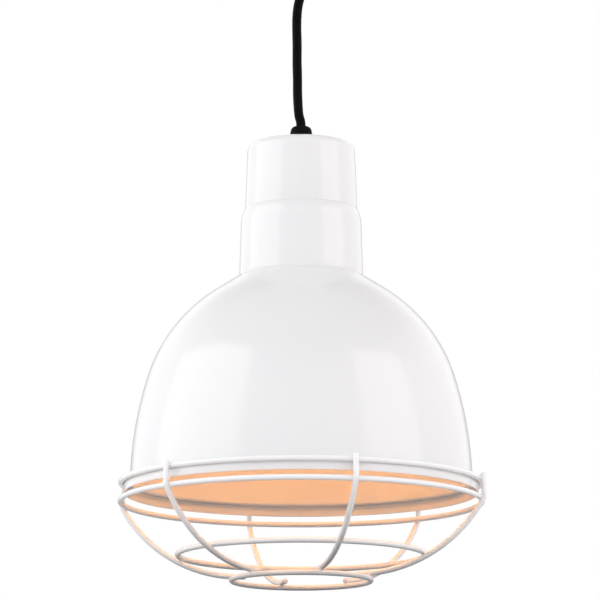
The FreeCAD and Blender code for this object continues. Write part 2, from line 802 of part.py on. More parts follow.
def lamp():
    """E26 lamp: contact, insulator, screw shell, bulb, stem and four filament rods."""
    shell_top = D.lamp_tip - 4.5
    collar = shell_top - 1
    low = D.socket_low + 2.5
    inside_tip = D.lamp_tip - 1.6
    turned(
        "lamp_contact",
        HEAD,
        [(0, inside_tip), (4.5, inside_tip), (4.5, D.lamp_tip - 0.6), (3.2, D.lamp_tip), (0, D.lamp_tip)],
    )
    turned(
        "lamp_insulator",
        HEAD,
        [
            (0, collar - 0.8),
            (11, collar - 0.8),
            (11, shell_top - 0.6),
            (5.5, inside_tip - 0.3),
            (0, inside_tip - 0.3),
        ],
    )
    waves = wave_points(low + 3.3, BASE_WAVES, D.base_root, D.base_crest, D.thread_pitch)
    outer = [(D.base_crest, low), (D.base_crest, low + 2.3)] + waves
    inner = [(r - D.base_skin, z) for r, z in outer]
    cap = [(11.1, shell_top), (11.1, collar - 1)]
    turned("lamp_base_shell", HEAD, outer + cap + inner[::-1])
    neck = D.base_crest - D.base_skin - 0.05
    turned(
        "lamp_glass",
        HEAD,
        [
            (0, D.bulb_mid - D.bulb_rad),
            (Guess(22.8), Guess(D.bulb_mid.value + 19.5)),
            (neck, low - 4),
            (neck, low + 2),
            (neck - D.bulb_skin, low + 2),
            (neck - D.bulb_skin, low - 4),
            (Guess(22.2), Guess(D.bulb_mid.value + 19.0)),
            (0, D.bulb_mid - D.bulb_rad + D.bulb_skin),
        ],
        arcs={
            0: (D.bulb_rad, True),
            1: (Guess(41.7), False),
            5: (Guess(42.5), True),
            6: (D.bulb_rad - D.bulb_skin, False),
        },
        smooth=(1, 2, 5, 6),
        centred=(0, 6),
    )
    turned(
        "lamp_stem",
        HEAD,
        [
            (0, D.bulb_mid - 14),
            (1.4, D.bulb_mid - 14),
            (1.4, D.bulb_mid + 18),
            (3.5, D.bulb_mid + 24),
            (10.5, low + 1),
            (0, low + 1),
        ],
    )
    rods = [
        cylinder(f"rod{k}", HEAD, 0.9, 30, x=x, y=y, z=D.bulb_mid - 13)
        for k, (x, y) in enumerate([(9, 0), (0, 9), (-9, 0), (0, -9)])
    ]
    keep(combine("Part::Compound", "lamp_filaments", rods), "lamp_filaments")


# ---------------------------------------------------------------- wire guard


def guard():
    rings = {
        "guard_ring_skirt": (D.upper_ring_rad, D.upper_ring_up),
        "guard_ring_rim": (D.lower_ring_rad, -D.lower_ring_drop),
        "guard_ring_middle": (D.mid_ring_rad, -D.mid_ring_drop),
        "guard_ring_end": (D.end_ring_rad, -D.end_ring_drop),
    }
    for label, (radius, height) in rings.items():
        sizes = {"Radius1": radius, "Radius2": D.wire_rad}
        keep(primitive("Part::Torus", label, HEAD, sizes, z=height), label)
    guard_ribs()


def guard_ribs():
    """One rib swept along its bent path, then repeated round the guard."""
    base = D.belly_drop + 10
    out = D.lower_ring_rad + D.wire_rad * 2 - D.weld
    turn = FreeCAD.Rotation(vector(0, 0, 1), D.rib_turn.value - 90)
    body = new_body("guard_ribs", HEAD, z=-base, turn=turn)
    path = new_sketch(body, "XZ_Plane", "path")
    Outline(
        path,
        [
            (D.rib_top_rad, base + D.rib_top_up),
            (out, base - D.knee_drop),
            (Guess(132.7), Guess(base.value - 6.4)),
            (Guess(43.3), base - D.belly_drop),
            (D.tip_rad, base - D.belly_drop),
        ],
        arcs={1: (D.knee_bend, False), 2: (D.belly_bend, False)},
        smooth=(1, 2, 3),
        closed=False,
    )
    section = new_sketch(body, "XY_Plane", "section", offset=base + D.rib_top_up)
    circle = Part.Circle(vector(D.rib_top_rad.value, 0), vector(0, 0, 1), D.wire_rad.value)
    edge = section.addGeometry(circle)
    add_signed(section, "DistanceX", edge, D.rib_top_rad)
    add_signed(section, "DistanceY", edge, 0)
    index = section.addConstraint(Sketcher.Constraint("Radius", edge, D.wire_rad.value))
    section.setExpression(f"Constraints[{index}]", D.wire_rad.text)
    doc.recompute()
    pipe = body.newObject("PartDesign::AdditivePipe", "rib")
    pipe.Profile = section
    pipe.Spine = (path, [])
    doc.recompute()
    pattern = body.newObject("PartDesign::PolarPattern", "ribs")
    pattern.Originals = [pipe]
    pattern.Axis = (origin_item(body, "Z_Axis"), [""])
    pattern.Angle = 360
    pattern.Occurrences = RIBS
    body.Tip = pattern
    doc.recompute()


# ---------------------------------------------------------------- ceiling end


def canopy():
    body = turned(
        "canopy",
        CEILING,
        [
            (0, 0),
            (D.canopy_rad, 0),
            (D.canopy_rad, D.canopy_len, D.canopy_bend),
            (0, D.canopy_len),
        ],
    )
    hollowed(body, 0, D.sheet)
    holes = [(0, 0, D.nipple_rad + D.hole_fit)] + around(D.stud_out, 2, D.stud_rad + D.hole_fit)
    drilled(body, D.canopy_len, D.sheet * 2, holes)


def mounting_strap():
    """Steel strap with two slots for the ceiling box and tapped holes for the canopy screws."""
    body = new_body("mounting_strap", CEILING, x=-D.strap_half)
    sketch = new_sketch(body, "XZ_Plane", "side")
    Outline(sketch, [(0, 0), (D.strap_half * 2, 0), (D.strap_half * 2, D.strap_skin), (0, D.strap_skin)])
    pad = body.newObject("PartDesign::Pad", "strap_plate")
    pad.Profile = sketch
    pad.Midplane = True
    bind(pad, Length=D.strap_wide)
    doc.recompute()
    middle = D.strap_half
    holes = [(middle, 0, D.strap_hole), (middle + D.earth_out, 0, D.screw_rad + D.fit)]
    holes += [(middle + D.stud_out * side, 0, D.stud_rad + D.fit) for side in (1, -1)]
    drilled(body, 0, D.strap_skin * 2, holes)
    for k, side in enumerate((1, -1)):
        slot(body, middle + D.slot_gap * (side / 2), k)


def slot(body, centre, k):
    """A slot with round ends, cut through the strap about one centre."""
    sketch = new_sketch(body, "XY_Plane", f"slot{k}", offset=0)
    half = D.slot_len * 0.5 - D.slot_rad
    lift = 20.0  # the outline is drawn this far up the sketch so that its sizes stay positive
    Outline(
        sketch,
        [
            (centre - half, lift - D.slot_rad.value),
            (centre + half, lift - D.slot_rad.value),
            (centre + half, lift + D.slot_rad.value),
            (centre - half, lift + D.slot_rad.value),
        ],
        arcs={1: (D.slot_rad * 1.0001, True), 3: (D.slot_rad * 1.0001, True)},
    )
    sketch.AttachmentOffset = FreeCAD.Placement(vector(0, -lift, 0), FreeCAD.Rotation())
    cut = body.newObject("PartDesign::Pocket", f"slot{k}_cut")
    cut.Profile = sketch
    cut.Midplane = True
    bind(cut, Length=D.strap_skin * 4)
    doc.recompute()


def ceiling_fasteners():
    studs, locks, caps = [], [], []
    for k, side in enumerate((1, -1)):
        x = D.stud_out * side
        studs.append(cylinder(f"stud{k}", CEILING, D.stud_rad, D.stud_len, x=x))
        locks.append(hex_nut(f"lock{k}", CEILING, D.strap_skin, 4.6, D.stud_rad + D.fit, 2.6, x=x))
        caps.append(cap_nut(f"cap{k}", x))
    keep(combine("Part::Compound", "canopy_screws", studs), "canopy_screws")
    keep(combine("Part::Compound", "canopy_lock_nuts", locks), "canopy_lock_nuts")
    keep(combine("Part::Compound", "canopy_cap_nuts", caps), "canopy_cap_nuts")
    earth = screw_up("strap_earth_screw", D.earth_out)
    keep(earth, "strap_earth_screw")


def cap_nut(label, x):
    """Domed nut that holds the canopy up against the ceiling."""
    outer = cylinder(f"{label}_drum", CEILING, 4.8, 4.5, x=x, z=D.canopy_len)
    dome = primitive("Part::Sphere", f"{label}_dome", CEILING, {"Radius": 4.8}, x=x, z=D.canopy_len + 4.5)
    body = combine("Part::MultiFuse", f"{label}_solid", [outer, dome])
    block = cylinder(f"{label}_block", CEILING, 6, 5, x=x, z=D.canopy_len - 5)
    bore = cylinder(f"{label}_bore", CEILING, D.stud_rad + D.fit, D.stud_len + D.hole_fit, x=x)
    tools = combine("Part::MultiFuse", f"{label}_tools", [block, bore])
    return combine("Part::Cut", f"{label}_nut", [body, tools])


def screw_up(label, x):
    head = cylinder(f"{label}_head", CEILING, 3.5, 2.2, x=x, z=D.strap_skin)
    shank = cylinder(f"{label}_shank", CEILING, D.screw_rad, D.strap_skin, x=x)
    return combine("Part::MultiFuse", f"{label}_solid", [head, shank])


def wire_connectors():
    """Twist-on connectors lying beside the strap, their mouths towards the cord."""
    connectors = []
    for k, side in enumerate((1, -1)):
        body = turned(
            f"connector{k}",
            CEILING,
            [(2.6, 0), (5.5, 0), (5.5, 4), (3.4, 18, 1), (0, 18), (0, 10), (2.6, 10)],
            x=14 * side,
            y=-22,
            z=13,
            turn=FreeCAD.Rotation(vector(1, 0, 0), 90),
        )
        nodes.remove(body)
        connectors.append(body)
    keep(combine("Part::Compound", "wire_connectors", connectors), "wire_connectors")


def leads(upper_end, lower_end):
    """The three cores past each end of the jacket."""
    bend = 1.6
    up, low = upper_end.value, lower_end.value
    core = D.core_rad.value
    for name, side in (("live", 1), ("neutral", -1)):
        bent_wire(
            f"upper_lead_{name}",
            CEILING,
            [
                (1.5 * side, 0, up),
                (1.5 * side, 0, up - 4.5),
                (6 * side, -9, up - 4.5),
                (14 * side, -15, 13),
                (14 * side, -29, 13),
            ],
            core,
            bend,
        )
        lie = D.socket_up.value + D.plate_skin.value + core
        bent_wire(
            f"lower_lead_{name}",
            HEAD,
            [(1.5 * side, 0, low), (1.5 * side, 0, lie + 3.5), (4.2 * side, 0, lie), (9.2 * side, 0, lie)],
            core,
            bend,
        )
    bent_wire(
        "upper_lead_earth",
        CEILING,
        [(0, 1.6, up), (0, 1.6, up - 6.5), (4.5, 1.2, 3.1), (9.3, 0, 3.1)],
        core,
        bend,
    )
    bent_wire(
        "lower_lead_earth",
        HEAD,
        [(0, 1.6, low), (0, 1.6, low - 4), (0, 7.6, low - 4), (0, 7.6, low + 3.5)],
        core,
        bend,
    )


# ---------------------------------------------------------------- the whole light


def build():
    shade_bowl()
    neck_collar()
    neck_cap()
    stirrup()
    flange_fasteners()
    star = D.cap_up - D.sheet - D.strip
    name, bore = "stirrup_washer", D.nipple_rad + D.hole_fit
    keep(washer(name, HEAD, star - D.washer_len, D.nut_corner, bore, D.washer_len), name)
    low_pivot = cord_grip(
        "lower", HEAD, D.cap_up, star - D.washer_len, D.grip_top_rad, D.mouth_rad, D.throat_in_rad,
        D.lip_len, D.pivot_in, D.seal_rad, D.nipple_low,
    )
    high_pivot = cord_grip(
        "upper", CEILING, D.canopy_len, D.canopy_len - D.sheet, D.bell_top_rad, D.bell_mouth_rad,
        D.bell_in_rad, D.bell_lip_len, D.bell_pivot_in, D.bell_seal_rad, D.canopy_len - 7,
    )
    half = (D.rim_drop - low_pivot - high_pivot) * 0.5
    cord_half("cord_upper", CEILING, high_pivot, half)
    cord_half("cord_lower", HEAD, low_pivot, half)
    upper_end = D.canopy_len - 10.5
    lower_end = D.nipple_low - 2.5
    cord_tail("cord_tail_upper", CEILING, high_pivot, upper_end)
    cord_tail("cord_tail_lower", HEAD, low_pivot, lower_end)
    socket_cap()
    socket_body()
    screw_shell()
    socket_contact()
    socket_fittings()
    lamp()
    guard()
    canopy()
    mounting_strap()
    ceiling_fasteners()
    wire_connectors()
    leads(upper_end, lower_end)
    ends = f"{-high_pivot.value:.2f} and {low_pivot.value - D.rim_drop.value:.2f}"
    print(f"pivots: {ends}, cord half {half.value:.2f}")


def check():
    """Stops before anything is written if an object failed or a shape isn't whole."""
    doc.recompute()
    faults = []
    for item in doc.Objects:
        if "Invalid" in item.State or "Error" in item.State:
            faults.append(f"{item.Label} is {item.State}")
        if item.TypeId == "Sketcher::SketchObject" and not item.FullyConstrained:
            faults.append(f"{item.Label} isn't fully constrained")
    for item in nodes:
        if item.Shape.isNull() or not item.Shape.isValid() or not item.Shape.Solids:
            faults.append(f"{item.Label} has no valid solid")
    if faults:
        raise RuntimeError("; ".join(faults))


def write():
    os.makedirs("parts", exist_ok=True)
    for item in nodes:
        item.Shape.exportStep(f"parts/{item.Label}.step")
        print(f"{item.Label}: {len(item.Shape.Solids)} solid(s), {item.Shape.Volume:.1f} mm3")


build()
check()
write()
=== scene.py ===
"""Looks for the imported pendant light: a white steel shade with a wire guard, lit from inside."""

import math

import bmesh
import bpy
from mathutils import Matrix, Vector


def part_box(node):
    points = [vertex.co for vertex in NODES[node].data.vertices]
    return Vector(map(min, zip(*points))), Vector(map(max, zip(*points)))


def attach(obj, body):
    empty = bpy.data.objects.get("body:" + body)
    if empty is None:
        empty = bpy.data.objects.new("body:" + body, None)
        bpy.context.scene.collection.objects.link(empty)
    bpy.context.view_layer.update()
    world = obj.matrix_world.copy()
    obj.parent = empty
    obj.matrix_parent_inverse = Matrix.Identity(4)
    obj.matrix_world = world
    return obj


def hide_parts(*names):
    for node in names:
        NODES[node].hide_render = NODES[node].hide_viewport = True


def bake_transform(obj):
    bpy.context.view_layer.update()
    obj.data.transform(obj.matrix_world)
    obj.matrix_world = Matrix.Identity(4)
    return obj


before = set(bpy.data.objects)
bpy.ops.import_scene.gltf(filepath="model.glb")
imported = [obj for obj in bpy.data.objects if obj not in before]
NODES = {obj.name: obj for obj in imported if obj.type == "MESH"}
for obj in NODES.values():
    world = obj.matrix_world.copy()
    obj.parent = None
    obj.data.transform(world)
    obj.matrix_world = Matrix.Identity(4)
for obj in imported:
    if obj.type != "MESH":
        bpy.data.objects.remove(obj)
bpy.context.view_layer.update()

MM = 0.001
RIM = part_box("shade_bowl")[0].z  # height of the shade's rim plane in the row frame


def head(r, z):
    """A (radius, height) pair measured from the rim plane in mm, as metres in the row frame."""
    return r * MM, RIM + z * MM


# ---------------------------------------------------------------- light levels and stage

SKY = 1.25  # strength of the surrounding light
TOP_SHARE = 0.38  # of SKY, overhead
BACK_SHARE = 0.35  # of SKY, straight behind the light
LEFT_PANEL = 2.25
RIGHT_PANEL = 2.3
PANEL_DISTANCE = 1.5
LAMP = 13.8  # glow of the lamp's glass
LAMP_COLOUR = (1.0, 0.44, 0.13)
BACKDROP = 1.0
BACKDROP_RADIUS = 18.0
FLOOR_RADIUS = 17.5
FLOOR_DROP = 2.2  # below the rim plane
FLAG_RADIUS = 0.155  # black disc that keeps floor light out of the shade
FLAG_DROP = 0.09

# ---------------------------------------------------------------- materials


class Nodes:
    """A material's node tree, with short calls for what the finishes below have in common."""

    def __init__(self, name):
        self.material = bpy.data.materials.new(name)
        self.material.use_nodes = True
        self.tree = self.material.node_tree
        self.shader = self.tree.nodes["Principled BSDF"]
        self.coords = self.add("ShaderNodeTexCoord").outputs["Object"]

    def add(self, kind, **settings):
        node = self.tree.nodes.new(kind)
        for key, value in settings.items():
            setattr(node, key, value)
        return node

    def link(self, start, end):
        self.tree.links.new(start, end)

    def set(self, **values):
        for key, value in values.items():
            self.shader.inputs[key.replace("_", " ")].default_value = value

    def noise(self, scale, detail=2.0, roughness=0.5, stretch=(1, 1, 1)):
        mapping = self.add("ShaderNodeMapping")
        mapping.inputs["Scale"].default_value = stretch
        self.link(self.coords, mapping.inputs["Vector"])
        noise = self.add("ShaderNodeTexNoise")
        noise.inputs["Scale"].default_value = scale
        noise.inputs["Detail"].default_value = detail
        noise.inputs["Roughness"].default_value = roughness
        self.link(mapping.outputs["Vector"], noise.inputs["Vector"])
        return noise.outputs["Fac"]

    def ramp(self, value, low, high, start=0.3, end=0.7):
        ramp = self.add("ShaderNodeMapRange")
        ramp.inputs["From Min"].default_value = start
        ramp.inputs["From Max"].default_value = end
        ramp.inputs["To Min"].default_value = low
        ramp.inputs["To Max"].default_value = high
        self.link(value, ramp.inputs["Value"])
        return ramp.outputs["Result"]

    def colours(self, value, stops):
        ramp = self.add("ShaderNodeValToRGB")
        elements = ramp.color_ramp.elements
        while len(elements) < len(stops):
            elements.new(0.5)
        for element, (position, colour) in zip(elements, stops):
            element.position = position
            element.color = (*colour, 1)
        self.link(value, ramp.inputs["Fac"])
        return ramp.outputs["Color"]

    def bump(self, height, strength, distance, after=None):
        bump = self.add("ShaderNodeBump")
        bump.inputs["Strength"].default_value = strength
        bump.inputs["Distance"].default_value = distance
        self.link(height, bump.inputs["Height"])
        if after is not None:
            self.link(after, bump.inputs["Normal"])
        return bump.outputs["Normal"]


def paint(name, colour, roughness, peel=0.05, coat=0.0):
    """Sprayed gloss paint: a faint orange peel, and gloss and tone that wander a little."""
    n = Nodes(name)
    tone = n.noise(9.0, 3.0)
    dim = tuple(c * 0.975 for c in colour)
    n.link(n.colours(tone, [(0.3, dim), (0.7, colour)]), n.shader.inputs["Base Color"])
    n.link(n.ramp(n.noise(55.0), roughness * 0.85, roughness * 1.2), n.shader.inputs["Roughness"])
    n.link(n.bump(n.noise(620.0, 1.0), peel, 0.00004), n.shader.inputs["Normal"])
    n.set(IOR=1.5, Coat_Weight=coat, Coat_Roughness=0.08)
    return n.material


def plastic(name, colour, roughness, grain=1500.0, depth=0.00002, shine=0.5):
    n = Nodes(name)
    tone = n.noise(60.0, 3.0)
    light = tuple(min(1.0, c * 1.4) for c in colour)
    n.link(n.colours(tone, [(0.3, colour), (0.75, light)]), n.shader.inputs["Base Color"])
    n.link(n.ramp(n.noise(240.0), roughness * 0.8, roughness * 1.25), n.shader.inputs["Roughness"])
    n.link(n.bump(n.noise(grain, 2.0), 0.25, depth), n.shader.inputs["Normal"])
    n.set(IOR=1.5, Specular_IOR_Level=shine)
    return n.material


def metal(name, colour, roughness, brushed=(1, 1, 1)):
    """Plated or bare metal with fine marks; brushed stretches them along an axis."""
    n = Nodes(name)
    marks = n.noise(900.0, 3.0, stretch=brushed)
    dull = tuple(c * 0.82 for c in colour)
    n.link(n.colours(n.noise(140.0, 4.0), [(0.3, dull), (0.7, colour)]), n.shader.inputs["Base Color"])
    n.link(n.ramp(marks, roughness * 0.75, roughness * 1.35), n.shader.inputs["Roughness"])
    n.link(n.bump(marks, 0.15, 0.00002), n.shader.inputs["Normal"])
    n.set(Metallic=1.0)
    return n.material


def glow(name, colour, strength):
    """Frosted lamp glass, lit from behind."""
    n = Nodes(name)
    tone = n.noise(120.0, 2.0)
    shade = tuple(c * 0.96 for c in colour)
    colours = n.colours(tone, [(0.3, shade), (0.7, colour)])
    n.link(colours, n.shader.inputs["Base Color"])
    n.link(colours, n.shader.inputs["Emission Color"])
    n.link(n.bump(n.noise(2400.0, 1.0), 0.1, 0.00002), n.shader.inputs["Normal"])
    n.set(Emission_Strength=strength, Roughness=0.35)
    return n.material


WHITE = (0.80, 0.80, 0.806)
enamel = paint("white_enamel", WHITE, 0.16, coat=0.25)
# painted highlight: the guard wires are the same white paint as the shade, but their base colour is set
# lighter (0.90 against 0.80) to stand in for the light the wires catch
wire_paint = paint("guard_paint", (0.90, 0.90, 0.905), 0.22, peel=0.12)
canopy_paint = paint("canopy_paint", WHITE, 0.18, coat=0.25)
zinc = metal("zinc_plate", (0.62, 0.64, 0.66), 0.32)
brass = metal("brass", (0.80, 0.56, 0.22), 0.28)
nickel = metal("nickel", (0.72, 0.70, 0.66), 0.22)
green_zinc = metal("green_zinc", (0.10, 0.34, 0.13), 0.35)
black_moulding = plastic("black_moulding", (0.004, 0.004, 0.0045), 0.5, shine=0.03)
jacket = plastic("cord_jacket", (0.001, 0.001, 0.001), 0.45, 700.0, 0.00004, shine=0.05)
rubber = plastic("seal_rubber", (0.015, 0.015, 0.015), 0.6)
core_black = plastic("core_black", (0.012, 0.012, 0.012), 0.4)
core_white = plastic("core_white", (0.75, 0.75, 0.72), 0.4)
core_green = plastic("core_green", (0.03, 0.24, 0.06), 0.4)
orange = plastic("connector_orange", (0.75, 0.20, 0.03), 0.38)
porcelain = paint("porcelain", (0.82, 0.81, 0.77), 0.12, peel=0.2, coat=0.5)
lamp_glass = glow("lamp_glass", LAMP_COLOUR, LAMP)
lamp_inner = glow("lamp_inner", LAMP_COLOUR, LAMP / 2)
insulator = plastic("lamp_insulator", (0.01, 0.01, 0.012), 0.15)

FINISHES = {
    enamel: ["shade_bowl", "neck_collar", "neck_cap"],
    wire_paint: ["guard_ring_skirt", "guard_ring_rim", "guard_ring_middle", "guard_ring_end", "guard_ribs"],
    canopy_paint: ["canopy", "canopy_cap_nuts"],
    zinc: [
        "mounting_strap", "socket_stirrup", "canopy_screws", "canopy_lock_nuts", "flange_screws",
        "flange_nuts", "stirrup_washer", "lower_grip_locknut", "upper_grip_locknut",
        "lower_grip_nipple", "upper_grip_nipple", "socket_body_screws",
    ],
    brass: [
        "lower_grip_washer", "upper_grip_washer", "socket_terminal_plates", "socket_terminal_screws",
        "socket_screw_shell", "socket_contact",
    ],
    green_zinc: ["socket_earth_screw", "strap_earth_screw"],
    black_moulding: ["lower_grip_nut", "upper_grip_nut", "socket_cap"],
    rubber: ["lower_grip_seal", "upper_grip_seal"],
    jacket: ["cord_upper", "cord_lower", "cord_tail_upper", "cord_tail_lower"],
    core_black: ["upper_lead_live", "lower_lead_live"],
    core_white: ["upper_lead_neutral", "lower_lead_neutral"],
    core_green: ["upper_lead_earth", "lower_lead_earth"],
    orange: ["wire_connectors"],
    porcelain: ["socket_body"],
    lamp_glass: ["lamp_glass"],
    lamp_inner: ["lamp_stem", "lamp_filaments"],
    nickel: ["lamp_base_shell", "lamp_contact"],
    insulator: ["lamp_insulator"],
}


def finish(obj, material):
    obj.data.materials.clear()
    obj.data.materials.append(material)


for material, names in FINISHES.items():
    for name in names:
        finish(NODES[name], material)

# ---------------------------------------------------------------- mesh makers


def new_piece(name, verts, faces, material, body, replaced=()):
    mesh = bpy.data.meshes.new(name)
    mesh.from_pydata(verts, [], faces)
    mesh.validate()
    shell = bmesh.new()
    shell.from_mesh(mesh)
    bmesh.ops.recalc_face_normals(shell, faces=shell.faces)
    shell.to_mesh(mesh)
    shell.free()
    mesh.update()
    mesh.polygons.foreach_set("use_smooth", [True] * len(mesh.polygons))
    obj = bpy.data.objects.new(name, mesh)
    bpy.context.scene.collection.objects.link(obj)
    mesh.materials.append(material)
    if body:
        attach(obj, body)
    if replaced:
        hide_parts(*replaced)
    return obj


def arc(centre, radius, start, end, count):
    """Points on a circle in the (r, z) plane, from one angle to another, in degrees."""
    step = (end - start) / count
    angles = [math.radians(start + step * k) for k in range(count + 1)]
    return [(centre[0] + radius * math.cos(a), centre[1] + radius * math.sin(a)) for a in angles]


def softened(points, radii):
    """Replaces the corners named in radii {index: radius} by arcs. The outline is closed."""
    out = []
    for k, corner in enumerate(points):
        if k not in radii:
            out.append(corner)
            continue
        c = Vector(corner)
        a = Vector(points[k - 1]) - c
        b = Vector(points[(k + 1) % len(points)]) - c
        half = a.angle(b) / 2
        reach = min(radii[k] / math.tan(half), a.length * 0.49, b.length * 0.49)
        radius = reach * math.tan(half)
        a.normalize()
        b.normalize()
        centre = c + (a + b).normalized() * (radius / math.sin(half))
        first, last = c + a * reach - centre, c + b * reach - centre
        steps = 6
        for i in range(steps + 1):
            share = i / steps
            blend = first.lerp(last, share)
            out.append(tuple(centre + blend.normalized() * radius))
    return out


def lathe(outline, around=192):
    """Vertices and faces of a closed (r, z) outline, in mm above the rim plane, turned about Z."""
    verts, faces = [], []
    count = len(outline)
    for i in range(around):
        a = 2 * math.pi * i / around
        for r, z in outline:
            r, z = head(r, z)
            verts.append((r * math.cos(a), r * math.sin(a), z))
    for i in range(around):
        this, after = i * count, ((i + 1) % around) * count
        for k in range(count):
            following = (k + 1) % count
            faces.append((this + k, after + k, after + following, this + following))
    return verts, faces


def thickened(outer, skin):
    """The points of an open outer line, offset inwards by the sheet thickness."""
    inner = []
    for k, point in enumerate(outer):
        before = Vector(outer[max(0, k - 1)])
        after = Vector(outer[min(len(outer) - 1, k + 1)])
        along = (after - before).normalized()
        inner.append((point[0] - along.y * skin, point[1] + along.x * skin))
    return inner


def tube(path, radius, sides=20, shape=None):
    """A round bar along a list of points, with rounded ends, as vertices and faces.

    shape(distance, angle) gives a factor on the radius."""
    points = [Vector(p) for p in path]
    tangents = []
    for k in range(len(points)):
        tangent = points[min(k + 1, len(points) - 1)] - points[max(k - 1, 0)]
        tangents.append(tangent.normalized())
    side = tangents[0].orthogonal().normalized()
    rings, travelled = [], 0.0
    for k, (point, tangent) in enumerate(zip(points, tangents)):
        side = (side - tangent * side.dot(tangent)).normalized()
        if k:
            travelled += (point - points[k - 1]).length
        rings.append((point, tangent, side.copy(), 1.0, travelled))
    rings = end_rings(rings[0], radius, -1) + rings[1:-1] + end_rings(rings[-1], radius, 1)
    verts, faces = [], []
    for point, tangent, across, share, distance in rings:
        up = tangent.cross(across)
        for i in range(sides):
            a = 2 * math.pi * i / sides
            r = radius * share * (shape(distance, a) if shape else 1.0)
            verts.append(point + (across * math.cos(a) + up * math.sin(a)) * r)
    for k in range(len(rings) - 1):
        for i in range(sides):
            j = (i + 1) % sides
            faces.append((k * sides + i, k * sides + j, (k + 1) * sides + j, (k + 1) * sides + i))
    faces.append(tuple(reversed(range(sides))))
    faces.append(tuple((len(rings) - 1) * sides + i for i in range(sides)))
    return verts, faces


def end_rings(ring, radius, way, corner=0.35):
    """Rings that round off a bar's cut end; corner is the rounding as a share of the radius."""
    point, tangent, side, _, distance = ring
    rings = []
    for k in range(5):
        a = math.pi / 2 * k / 4
        back = radius * corner * (1 - math.sin(a))
        share = 1 - corner + corner * math.cos(a)
        rings.append((point - tangent * way * back, tangent, side, share, distance))
    return rings if way > 0 else rings[::-1]


def join(parts):
    verts, faces = [], []
    for more_verts, more_faces in parts:
        base = len(verts)
        verts += more_verts
        faces += [tuple(base + i for i in face) for face in more_faces]
    return verts, faces


# ---------------------------------------------------------------- shade and neck

SHEET = 1.0
LEDGE = 8.2
THROAT = 31.0
CREASE = (44.8, 158.5)
SEAM = 207.5
CAP_TOP = 256.5


def bowl_outline():
    """Outer face from the rim up to the crease, then the flange and the inner face back down."""
    low_centre, shoulder_centre = (-146.25, 4.22), (1.85, 50.68)
    start = math.degrees(math.asin((LEDGE + 1.2 - low_centre[1]) / 269.0))
    meet = math.degrees(math.atan2(84.72 - shoulder_centre[1], 110.39 - shoulder_centre[0]))
    end = math.degrees(math.atan2(145.75 - shoulder_centre[1], 64.31 - shoulder_centre[0]))
    wall = arc(low_centre, 269.0, start, meet, 26)
    wall += arc(shoulder_centre, 113.8, meet, end, 26)[1:]
    wall += [(58.0, 149.9), (51.0, 154.45), (47.2, 156.9)] + arc((47.35, 160.0), 2.9, 248, 196, 8)
    foot = wall[0][0]
    ledge = arc((125.8, 7.0), 1.2, 0, 90, 6) + arc((foot + 1.0, LEDGE + 1.0), 1.0, 270, 184, 5)
    outer = [(127.0, 0.5), (127.0, 3.5)] + ledge + wall
    inner = thickened(outer, SHEET)
    inner[-9:] = [(CREASE[0] - 1.2, CREASE[1] - SHEET)]
    rim = arc((126.5, 0.5), 0.5, 180, 360, 8)
    flange = [(43.6, CREASE[1] - 0.05), (THROAT, CREASE[1] - 0.05), (THROAT, CREASE[1] - SHEET)]
    return rim + outer[1:] + flange + inner[::-1][:-1]


def collar_outline():
    shoulder = arc((14.06, 195.15), 29.7, 2.6, 24.4, 10)
    outer = softened([(40.0, CREASE[1]), CREASE, (43.7, 196.5)], {1: 0.5})[:-1] + shoulder
    lip = [(40.95, SEAM - 0.03), (40.7, SEAM)]
    spigot = [(39.4, SEAM), (39.4, SEAM + 6), (38.4, SEAM + 6), (38.4, SEAM - 0.6)]
    inner = thickened([(CREASE[0] - 0.2, CREASE[1] + 1), (43.7, 196.5)] + shoulder[2:], SHEET)[::-1]
    return outer + lip + spigot + inner + [(THROAT, CREASE[1] + SHEET), (THROAT, CREASE[1])]


def cap_outline():
    side = [(40.6, SEAM + 0.02), (40.66, SEAM + 0.06), (40.68, SEAM + 0.15), (39.85, 232.0)]
    corner = arc((33.03, 250.5), 6.0, 2, 90, 12)
    outer = side + corner + [(20.0, CAP_TOP), (5.2, CAP_TOP)]
    return outer + thickened(outer[3:], SHEET)[::-1] + [(39.6, SEAM + 0.02)]


def head_pieces():
    pieces = {
        "shade_skin": (bowl_outline(), "shade_bowl"),
        "collar_skin": (collar_outline(), "neck_collar"),
        "cap_skin": (cap_outline(), "neck_cap"),
    }
    for name, (outline, node) in pieces.items():
        verts, faces = lathe(outline, 240)
        new_piece(name, verts, faces, enamel, "head", [node])


# ---------------------------------------------------------------- wire guard

WIRE = 2.0
RIBS = (  # each rib's angle from the front, towards +X, and the radius of its cut tip
    (16.4, 39.0), (77.0, 41.0), (139.2, 48.0), (197.0, 39.0), (257.0, 41.0), (315.2, 41.0),
)
RINGS = {
    "guard_ring_skirt": (128.9, 7.81),
    "guard_ring_rim": (129.4, -5.6),
    "guard_ring_middle": (88.3, -43.8),
    "guard_ring_end": (49.7, -61.85),
}


def rib_line(tip):
    """One rib's centre line as (radius, height): lean, knee, long curve, and a level end at tip."""
    lean = math.degrees(math.atan2(133.2 - 0.3 - 132.45, 11.2 + 4.2))
    knee_centre, belly_centre = (129.1, -4.38), (43.3, 44.6)
    turn = math.degrees(math.atan2(belly_centre[1] - knee_centre[1], knee_centre[0] - belly_centre[0]))
    knee = arc(knee_centre, 4.0, lean, -turn, 8)
    short = math.degrees(math.asin(max(0.0, tip - belly_centre[0]) / 102.9))
    belly = arc(belly_centre, 102.9, -turn, -90 + short, 40)
    end = [(tip, -58.3)] if tip < belly_centre[0] else []
    return [(132.45, 11.2)] + knee + belly[1:] + end


def at_angle(r, z, degrees):
    """A (radius, height) point at an angle counted from the front, turning towards +X."""
    r, z = head(r, z)
    a = math.radians(degrees)
    return r * math.sin(a), -r * math.cos(a), z


